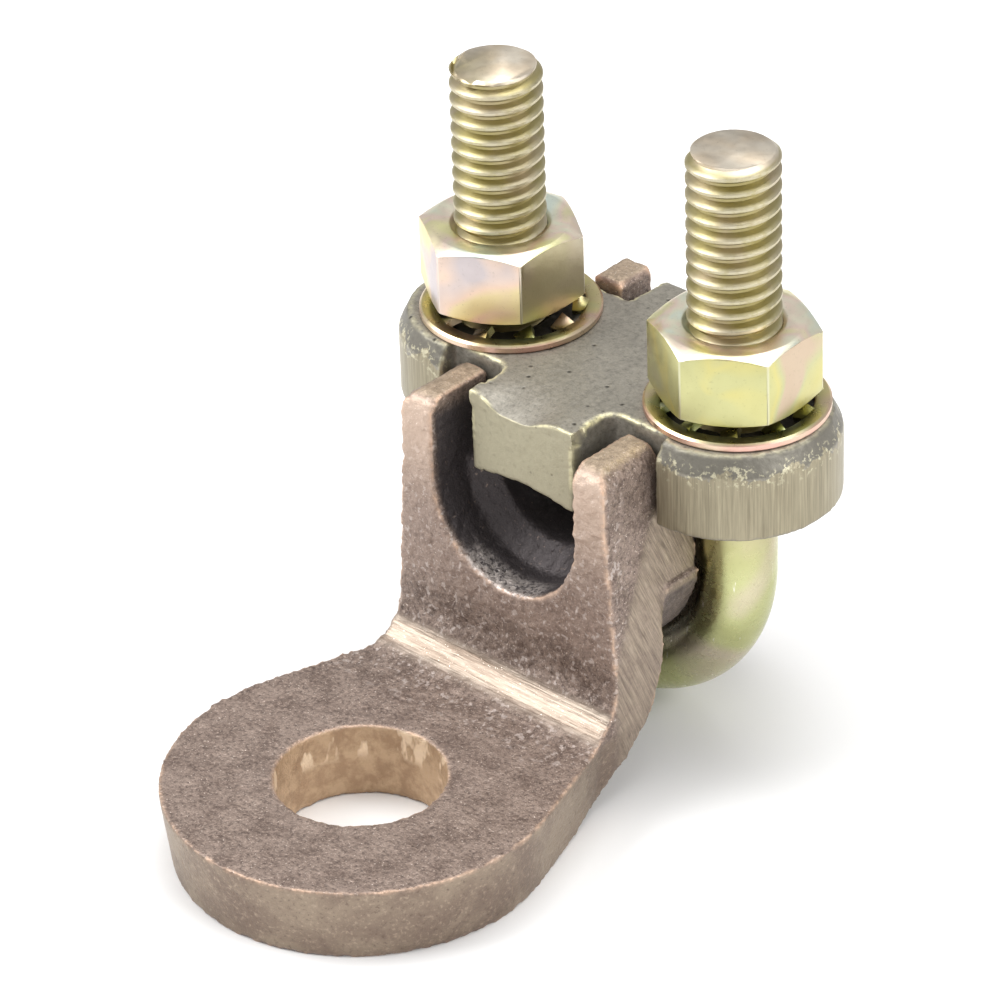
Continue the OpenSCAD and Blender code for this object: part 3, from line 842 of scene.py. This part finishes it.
def cut_thread(side):
    """One threaded stud: a profile of one pitch, wound up the stud and faced off."""
    top = STUD_TOPS[side]
    turns = math.ceil((top - THREAD_START) / PITCH) + 3
    bpy.ops.mesh.primitive_plane_add(size=MM, location=(0, 0, 0))
    stud = name_it("thread_blank")
    edit_all(stud)
    bm = bmesh.from_edit_mesh(stud.data)
    bmesh.ops.delete(bm, geom=list(bm.verts)[2:], context="VERTS")
    bm.verts.ensure_lookup_table()
    bm.verts[0].co = (THREAD_D / 2 * MM, 0, 0)
    bm.verts[1].co = (THREAD_D / 2 * MM, 0, PITCH * MM)
    bmesh.update_edit_mesh(stud.data)
    bpy.ops.mesh.select_all(action="SELECT")
    bpy.ops.mesh.subdivide(number_cuts=11)
    bm = bmesh.from_edit_mesh(stud.data)
    for v in bm.verts:
        v.co.x = thread_radius(v.co.z / MM / PITCH) * MM
    bmesh.update_edit_mesh(stud.data)
    edit_done()
    add_modifier(stud, "SCREW", angle=2 * math.pi, screw_offset=PITCH * MM, iterations=turns,
                 steps=48, render_steps=48, axis="Z", use_merge_vertices=True,
                 merge_threshold=0.00001, use_smooth_shade=True)
    finish_modifiers(stud)
    edit_all(stud)
    bpy.ops.mesh.remove_doubles(threshold=0.00001)
    bpy.ops.transform.translate(value=(0, 0, (THREAD_START - 1.5 * PITCH) * MM))
    cut_plane((0, 0, THREAD_START), (0, 0, -1), clear_outer=True)
    cut_plane((0, 0, top), (0, 0, 1), clear_outer=True)

    # A cone takes the crests down towards the stud's end.
    bm = bmesh.from_edit_mesh(stud.data)
    for v in bm.verts:
        limit = (3.4 + max(top - v.co.z / MM, 0) * 1.2) * MM
        r = math.hypot(v.co.x, v.co.y)
        if r > limit:
            v.co.x *= limit / r
            v.co.y *= limit / r
    bmesh.update_edit_mesh(stud.data)
    for height in (top, THREAD_START):
        select_where(stud, "VERT", lambda c, n: abs(c.z - height) < 0.002)
        bpy.ops.mesh.edge_face_add()
    bpy.ops.mesh.select_all(action="SELECT")
    bpy.ops.mesh.normals_make_consistent(inside=False)
    edit_done()
    if side < 0:
        shear_end(stud, top)
    stud.location = (side * STUD_X * MM, STUD_Y * MM, 0)
    settle(stud)
    return stud


def bend_rod():
    """The plain rod: a round face drawn down one leg, round the bend and up the other leg."""
    leg_top = THREAD_START + LEG_LAP
    bpy.ops.mesh.primitive_circle_add(
        vertices=48, radius=ROD_D / 2 * MM, fill_type="NGON",
        location=(STUD_X * MM, STUD_Y * MM, leg_top * MM))
    rod = name_it("rod_blank")
    settle(rod)
    edit_all(rod)
    bpy.ops.mesh.extrude_region_move(
        TRANSFORM_OT_translate={"value": (0, 0, (BEND_Z - leg_top) * MM)})
    bpy.ops.mesh.spin(steps=72, angle=-math.pi, center=(0, STUD_Y * MM, BEND_Z * MM),
                      axis=(0, 1, 0))
    bpy.ops.mesh.extrude_region_move(
        TRANSFORM_OT_translate={"value": (0, 0, (leg_top - BEND_Z) * MM)})
    edit_done()
    clean_shell(rod)
    return rod


def make_u_bolt():
    rod = bend_rod()
    join_into(rod, [cut_thread(-1), cut_thread(1)])
    bolt = name_it("u_bolt_threaded")
    smooth_by_angle(bolt, 40)
    x, y, z = points_of(bolt.data).T
    from_axis = np.hypot(np.abs(x) - STUD_X, y - STUD_Y)
    threaded = ramp(z, THREAD_START - LEG_LAP, THREAD_START + LEG_LAP)
    store(bolt.data, "thread", threaded)
    store(bolt.data, "crest", threaded * ramp(from_axis, 3.74, 3.93))
    inward = np.stack([-x, np.zeros_like(x), BEND_Z - np.minimum(z, BEND_Z)], axis=1)
    inward /= np.linalg.norm(inward, axis=1)[:, None] + 1e-9
    facing_in = (normals_of(bolt.data) * inward).sum(axis=1)
    end = z - np.where(x < 0, STUD_TOPS[-1], STUD_TOPS[1])
    store(bolt.data, "tip", ramp(end, -0.7, -0.01) * ramp(from_axis, 3.85, 3.6))
    # The inward-facing rod, for painted shade and reflection.
    store(bolt.data, "inner", ramp(facing_in, -0.05, 0.4) * (1 - threaded))
    bolt.data.materials.append(rod_plate())
    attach(bolt, "bolt")
    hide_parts("u_bolt")
    return bolt


# ----------------------------------------------------------- nuts and washers


def cut_with(obj, tool, operation):
    add_modifier(obj, "BOOLEAN", object=tool, operation=operation, solver="EXACT")
    finish_modifiers(obj)
    bpy.data.objects.remove(tool, do_unlink=True)


def turned(name, outline, steps=96):
    """A turned body: an outline of (radius, height) pairs in mm, spun round Z.

    The outline may start and end on the axis.
    """
    bpy.ops.mesh.primitive_circle_add(vertices=len(outline), radius=MM, fill_type="NOTHING")
    body = name_it(name)
    edit_all(body)
    bm = bmesh.from_edit_mesh(body.data)
    bm.verts.ensure_lookup_table()
    for v, (r, h) in zip(bm.verts, outline):
        v.co = (r * MM, 0, h * MM)
    on_axis = [e for e in bm.edges if max(abs(v.co.x) for v in e.verts) < 1e-9]
    bmesh.ops.delete(bm, geom=on_axis, context="EDGES")
    bmesh.update_edit_mesh(body.data)
    bpy.ops.mesh.select_all(action="SELECT")
    bpy.ops.mesh.spin(steps=steps, angle=2 * math.pi, center=(0, 0, 0), axis=(0, 0, 1))
    edit_done()
    clean_shell(body)
    return body


def make_nut(side, name, material):
    bpy.ops.mesh.primitive_cylinder_add(vertices=6, radius=NUT_CORNER_R * MM, depth=NUT_H * MM,
                                        location=(0, 0, NUT_H / 2 * MM))
    nut = name_it(name)
    nut.rotation_euler = (0, 0, math.radians(30))
    settle(nut)
    work_on(nut)
    bpy.ops.object.mode_set(mode="EDIT")
    select_where(nut, "EDGE", lambda c, d: abs(d.z) > 0.9)
    bpy.ops.mesh.bevel(offset=0.13 * MM, segments=2, profile=0.5, affect="EDGES")
    edit_done()

    # Both faces are chamfered to a circle.
    face_r, over = NUT_AF / 2 - 0.45, 0.01
    blank_r = face_r + 2.0
    rise = (blank_r - face_r) * math.tan(math.radians(24))
    blank = turned("nut_chamfer", [
        (0, -over), (face_r, -over), (blank_r, rise),
        (blank_r, NUT_H - rise), (face_r, NUT_H + over), (0, NUT_H + over)])
    cut_with(nut, blank, "INTERSECT")

    # The bore is countersunk at both ends.
    bore_r, sink = THREAD_D / 2 - 0.35, 0.75
    mouth_r = bore_r + sink + 0.1
    bore = turned("nut_bore", [
        (0, -1), (mouth_r, -1), (mouth_r, -0.1), (bore_r, sink),
        (bore_r, NUT_H - sink), (mouth_r, NUT_H + 0.1), (mouth_r, NUT_H + 1), (0, NUT_H + 1)])
    cut_with(nut, bore, "DIFFERENCE")
    add_modifier(nut, "BEVEL", width=0.09 * MM, segments=2, limit_method="ANGLE",
                 angle_limit=math.radians(22))
    finish_modifiers(nut)
    nut.location = (side * STUD_X * MM, STUD_Y * MM, NUT_Z * MM)
    nut.rotation_euler = (0, 0, math.radians(NUT_TURNS[side]))
    settle(nut)
    smooth_by_angle(nut, 30)
    paint_nut(nut.data, side)
    nut.data.materials.append(material)
    return nut


def paint_nut(mesh, side):
    """One value to a face: the nut's top, for its paler partly painted light, its worn corners,
    and the flats by the other nut, for painted shade.
    """
    count = len(mesh.polygons)
    centre, normal = np.empty(count * 3), np.empty(count * 3)
    mesh.polygons.foreach_get("center", centre)
    mesh.polygons.foreach_get("normal", normal)
    centre, normal = centre.reshape(-1, 3) / MM, normal.reshape(-1, 3)
    away = np.hypot(centre[:, 0] - side * STUD_X, centre[:, 1] - STUD_Y)
    upright = ramp(np.abs(normal[:, 2]), 0.5, 0.3)
    worn = ramp(away, NUT_CORNER_R - 0.35, NUT_CORNER_R - 0.2)
    store(mesh, "top", ramp(normal[:, 2], 0.35, 0.75), "FACE")
    store(mesh, "edge", worn * upright, "FACE")
    store(mesh, "shade_from_other_nut", ramp(-side * normal[:, 0], 0.62, 0.72) * upright, "FACE")


def make_tooth(number):
    """One tooth, which twists towards its inner end."""
    bpy.ops.mesh.primitive_cube_add(size=1, location=(0, 0, 0))
    tooth = name_it("tooth")
    tooth.scale = (TOOTH_L * MM, TOOTH_W * MM, TOOTH_T * MM)
    settle(tooth)
    edit_all(tooth)
    bpy.ops.mesh.subdivide(number_cuts=5)
    bm = bmesh.from_edit_mesh(tooth.data)
    for v in bm.verts:
        along = v.co.x / MM / TOOTH_L + 0.5
        twist = math.radians(TOOTH_TWIST) * min(1, max(0, (1 - along) / 0.55))
        lift = (WASHER_T / 2 + TOOTH_RISE * 0.3 * (1 - along)) * MM
        y, z = v.co.y * (1.25 - 0.35 * along), v.co.z
        v.co.y = y * math.cos(twist) - z * math.sin(twist)
        v.co.z = y * math.sin(twist) + z * math.cos(twist) + lift
        v.co.x += TOOTH_R * MM
    bmesh.update_edit_mesh(tooth.data)
    edit_done()
    tooth.rotation_euler = (0, 0, 2 * math.pi * number / TEETH)
    settle(tooth)
    return tooth


def make_washer_blank():
    """An internal-tooth lock washer: a rounded ring with twisted teeth inside it."""
    ring = turned("washer_ring", [
        (RING_IN, 0.12), (RING_IN + 0.12, 0), (RING_OUT - 0.12, 0), (RING_OUT, 0.14),
        (RING_OUT, WASHER_T - 0.2), (RING_OUT - 0.2, WASHER_T), (RING_IN + 0.2, WASHER_T),
        (RING_IN, WASHER_T - 0.15)], steps=120)
    join_into(ring, [make_tooth(i) for i in range(TEETH)])
    return ring


def place_washer(blank, side, name, material):
    washer = bpy.data.objects.new(name, blank.data.copy())
    washer.data.name = name
    bpy.context.scene.collection.objects.link(washer)
    slip_x, slip_y = WASHER_SLIPS[side]
    washer.location = ((side * STUD_X + slip_x) * MM, (STUD_Y + slip_y) * MM, WASHER_Z * MM)
    washer.rotation_euler = (0, 0, math.radians(WASHER_TURNS[side]))
    settle(washer)
    smooth_by_angle(washer, 40)
    x, y, z = points_of(washer.data).T
    from_centre = np.hypot(x - side * STUD_X - slip_x, y - STUD_Y - slip_y)
    store(washer.data, "rim", ramp(from_centre, 7.6, 7.74))
    store(washer.data, "teeth", ramp(from_centre, 6.75, 6.45))
    washer.data.materials.append(material)
    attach(washer, "keeper")
    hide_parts(name.replace("toothed_", ""))
    return washer


# ---------------------------------------------------------------- the assembly

make_lug()
make_keeper()
make_u_bolt()

nut_plates = {
    -1: nut_plate("pale_zinc_nut_left", [
        (0.4, (0.74, 0.62, 0.33)), (0.5, (0.78, 0.66, 0.38)),
        (0.58, (0.76, 0.58, 0.46)), (0.68, (0.56, 0.50, 0.50))], 0.013),
    1: nut_plate("pale_zinc_nut_right", [
        (0.38, (0.58, 0.46, 0.34)), (0.46, (0.54, 0.53, 0.30)),
        (0.55, (0.62, 0.57, 0.24)), (0.62, (0.55, 0.54, 0.27))], 0.031),
}
for side, name in ((-1, "nut_left"), (1, "nut_right")):
    nut = make_nut(side, "hex_" + name, nut_plates[side])
    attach(nut, name)
    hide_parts(name)

washer_zinc = washer_plate()
blank = make_washer_blank()
place_washer(blank, -1, "toothed_washer_left", washer_zinc)
place_washer(blank, 1, "toothed_washer_right", washer_zinc)
bpy.data.objects.remove(blank, do_unlink=True)


# ------------------------------------------------------- floor, lamps, camera


def studio():
    pick_nothing()
    bpy.ops.mesh.primitive_plane_add(size=3.0, location=(0, 0, -0.00002))
    floor = name_it("floor")
    mat, _, shader, _ = new_material("white_floor")
    shader.inputs["Base Color"].default_value = rgb(0.86, 0.86, 0.86)
    shader.inputs["Roughness"].default_value = 0.9
    shader.inputs["Specular IOR Level"].default_value = 0.1
    floor.data.materials.append(mat)

    world = bpy.context.scene.world or bpy.data.worlds.new("studio")
    bpy.context.scene.world = world
    world.use_nodes = True
    back = world.node_tree.nodes["Background"]
    back.inputs["Strength"].default_value = 0.55
    back.inputs["Color"].default_value = rgb(1.0, 1.0, 1.0)


def lamp(name, at, aim, size, watts):
    """A square area lamp. Places are in metres."""
    data = bpy.data.lights.new(name, "AREA")
    data.shape = "RECTANGLE"
    data.size = data.size_y = size
    data.energy = watts
    obj = bpy.data.objects.new(name, data)
    obj.location = at
    obj.rotation_euler = (Vector(aim) - Vector(at)).to_track_quat("-Z", "Y").to_euler()
    bpy.context.scene.collection.objects.link(obj)


def camera():
    """A long lens, in front of the part, to one side and above it."""
    data = bpy.data.cameras.new("camera")
    data.lens = 202.8
    data.sensor_width = 36.0
    data.clip_start, data.clip_end = 0.05, 10.0
    cam = bpy.data.objects.new("camera", data)
    right = Vector((0.7363, 0.6761, -0.0284)).normalized()
    back = Vector((0.5849, -0.6148, 0.5291)).normalized()
    up = back.cross(right).normalized()
    right = up.cross(back)
    turn = Matrix((right, up, back)).transposed().to_4x4()
    cam.matrix_world = Matrix.Translation((0.27348, -0.26963, 0.27258)) @ turn
    bpy.context.scene.collection.objects.link(cam)
    bpy.context.scene.camera = cam


studio()
lamp("key_left", (-0.45, -0.35, 0.55), (0, 0.02, 0.02), 0.5, 5.0)
lamp("fill_right", (0.55, 0.10, 0.35), (0, 0.02, 0.03), 0.35, 2.2)
lamp("top", (0.0, 0.15, 0.75), (0, 0.02, 0.02), 0.5, 3.5)
camera()
bpy.context.scene.view_settings.view_transform = "Standard"
